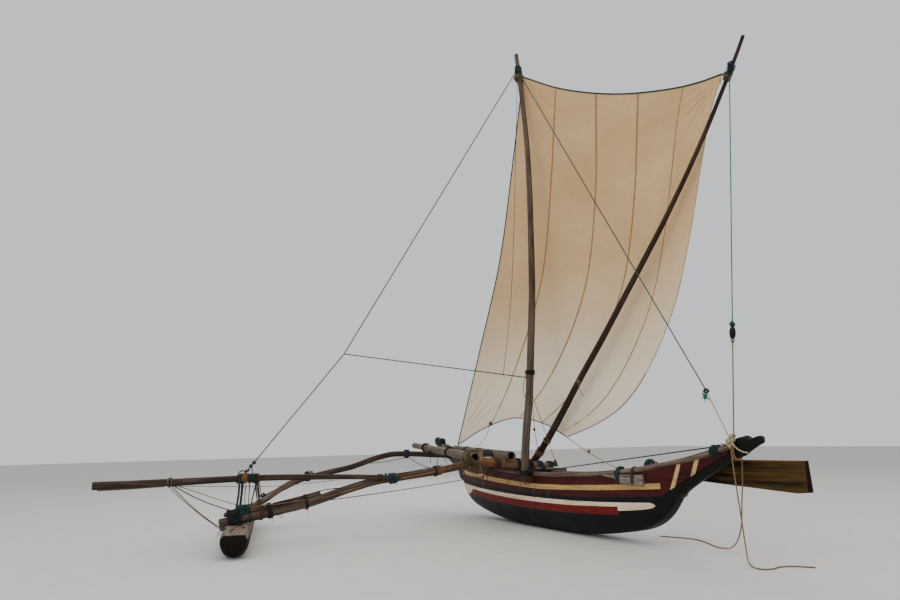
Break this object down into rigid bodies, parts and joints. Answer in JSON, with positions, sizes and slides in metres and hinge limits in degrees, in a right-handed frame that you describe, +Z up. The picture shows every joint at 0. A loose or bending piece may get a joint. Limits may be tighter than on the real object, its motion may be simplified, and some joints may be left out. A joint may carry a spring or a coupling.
{
  "type": "outrigger sailing canoe",
  "caption": "Beached outrigger canoe: plank-sided dugout hull, log float on lashed booms, mast, sprit, square-cut sail and a stowed steering oar.",
  "frame": {"origin": "middle of the hull's keel, where its flat bottom stands on the ground", "axes": "+X along the hull towards the near end, +Y to the side away from the float, +Z up"},
  "size_m": [9.484, 8.0447, 8.8353],
  "materials": {
    "bottom_paint": "worn gloss paint, dark green going to black at the keel",
    "strake_paint": "worn maroon paint with cream, black, white and red bands",
    "stem_paint": "worn black paint",
    "weathered_timber": "bare grey-brown round timber",
    "bamboo": "grey weathered bamboo with knots",
    "driftwood": "bare grey weathered wood, cracked",
    "spar_wood": "bare brown timber with knots",
    "board_wood": "bare brown plank with open grain",
    "sailcloth": "tan cotton, four seams, roped edges",
    "green_rope": "dark green twisted rope",
    "coir_rope": "brown coconut-fibre rope"
  },
  "bodies": {
    "canoe": {"hull_dugout": "bottom_paint", "stem_near": "stem_paint", "stem_far": "stem_paint", "washstrake_windward": "strake_paint", "washstrake_leeward": "strake_paint", "gunwale_windward": "weathered_timber", "gunwale_leeward": "weathered_timber", "thwart_1": "driftwood", "thwart_2": "driftwood", "thwart_3": "driftwood", "float": "driftwood", "near_boom": "weathered_timber", "near_boom_top_pole": "weathered_timber", "far_boom": "weathered_timber", "far_boom_lower_pole": "weathered_timber", "long_pole": "weathered_timber", "near_boom_bamboo": "bamboo", "near_boom_tail": "weathered_timber", "spare_bamboo_1": "bamboo", "spare_bamboo_2": "bamboo", "tarred_pole": "stem_paint", "mast": "spar_wood", "mast_step": "spar_wood", "bamboo_chock": "spar_wood", "sprit_step": "spar_wood", "sail": "sailcloth", "steering_oar_grommet": "green_rope", "float_lashing": "green_rope", "near_boom_lashing_outer": "green_rope", "near_boom_lashing_inner": "green_rope", "long_pole_lashing": "green_rope", "near_boom_splice": "coir_rope", "near_boom_tail_lashing": "green_rope", "far_boom_lashing": "green_rope", "mast_foot_lashing": "green_rope", "mast_head_lashing": "green_rope", "near_head_lashing": "coir_rope", "windward_stay": "green_rope", "mast_guy": "green_rope", "fore_stay": "green_rope", "sprit_guy": "green_rope", "float_strop_near": "green_rope", "float_strop_far": "green_rope", "sail_tack_line": "green_rope", "sail_sheet_line": "green_rope", "rope_tail_1": "coir_rope", "rope_tail_2": "coir_rope"},
    "sprit": {"sprit": "spar_wood", "sprit_head_lashing": "green_rope"},
    "steering_oar": {"steering_oar_blade": "board_wood", "steering_oar_loom": "weathered_timber"}
  },
  "joints": [
    {"name": "steering_oar_dip", "type": "hinge", "parent": "canoe", "child": "steering_oar", "pos_m": [2.38, 0.258, 1.1016], "axis": [0, 1, 0], "range_deg": [0, 18]},
    {"name": "sprit_swing", "type": "hinge", "parent": "canoe", "child": "sprit", "pos_m": [-0.84, 0.195, 0.98], "axis": [0, 0, 1], "range_deg": [-4, 12], "deforming": ["sail", "sprit_guy"]}
  ]
}
